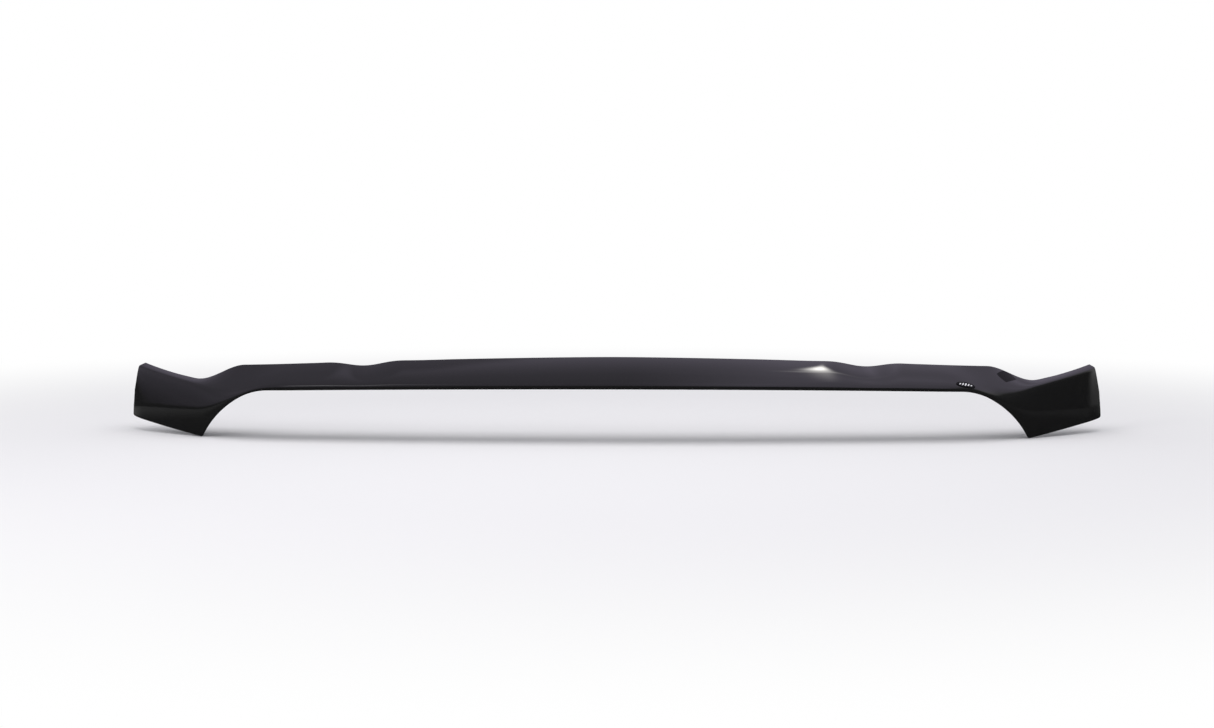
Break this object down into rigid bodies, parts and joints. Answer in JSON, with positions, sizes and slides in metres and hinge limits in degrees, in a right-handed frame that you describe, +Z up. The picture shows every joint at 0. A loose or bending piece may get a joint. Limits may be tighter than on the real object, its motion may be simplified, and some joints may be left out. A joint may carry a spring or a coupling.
{
  "type": "hood bug deflector",
  "caption": "Low moulded smoke-tinted acrylic deflector that wraps the leading edge of a pickup hood, with foam tape and clear bumpers behind it.",
  "frame": {"origin": "middle of the lower front edge, on the outer face", "axes": "+X to the viewer's right along the hood's leading edge, +Y rearwards from the front face into the hood, +Z up"},
  "size_m": [1.7492, 0.2676, 0.1423],
  "materials": {
    "smoke_acrylic": "polished",
    "foam_tape": "matte",
    "clear_vinyl": "clear",
    "badge_film": "polished"
  },
  "bodies": {
    "root": {"shield": "smoke_acrylic", "front_tape_left": "foam_tape", "front_tape_right": "foam_tape", "corner_tape_left": "foam_tape", "corner_tape_right": "foam_tape", "headlamp_tape_left": "foam_tape", "headlamp_tape_right": "foam_tape", "side_tape_left": "foam_tape", "side_tape_right": "foam_tape", "bumper_left_1": "clear_vinyl", "bumper_left_2": "clear_vinyl", "bumper_left_3": "clear_vinyl", "bumper_left_4": "clear_vinyl", "bumper_right_1": "clear_vinyl", "bumper_right_2": "clear_vinyl", "bumper_right_3": "clear_vinyl", "bumper_right_4": "clear_vinyl", "badge": "badge_film"}
  },
  "joints": []
}
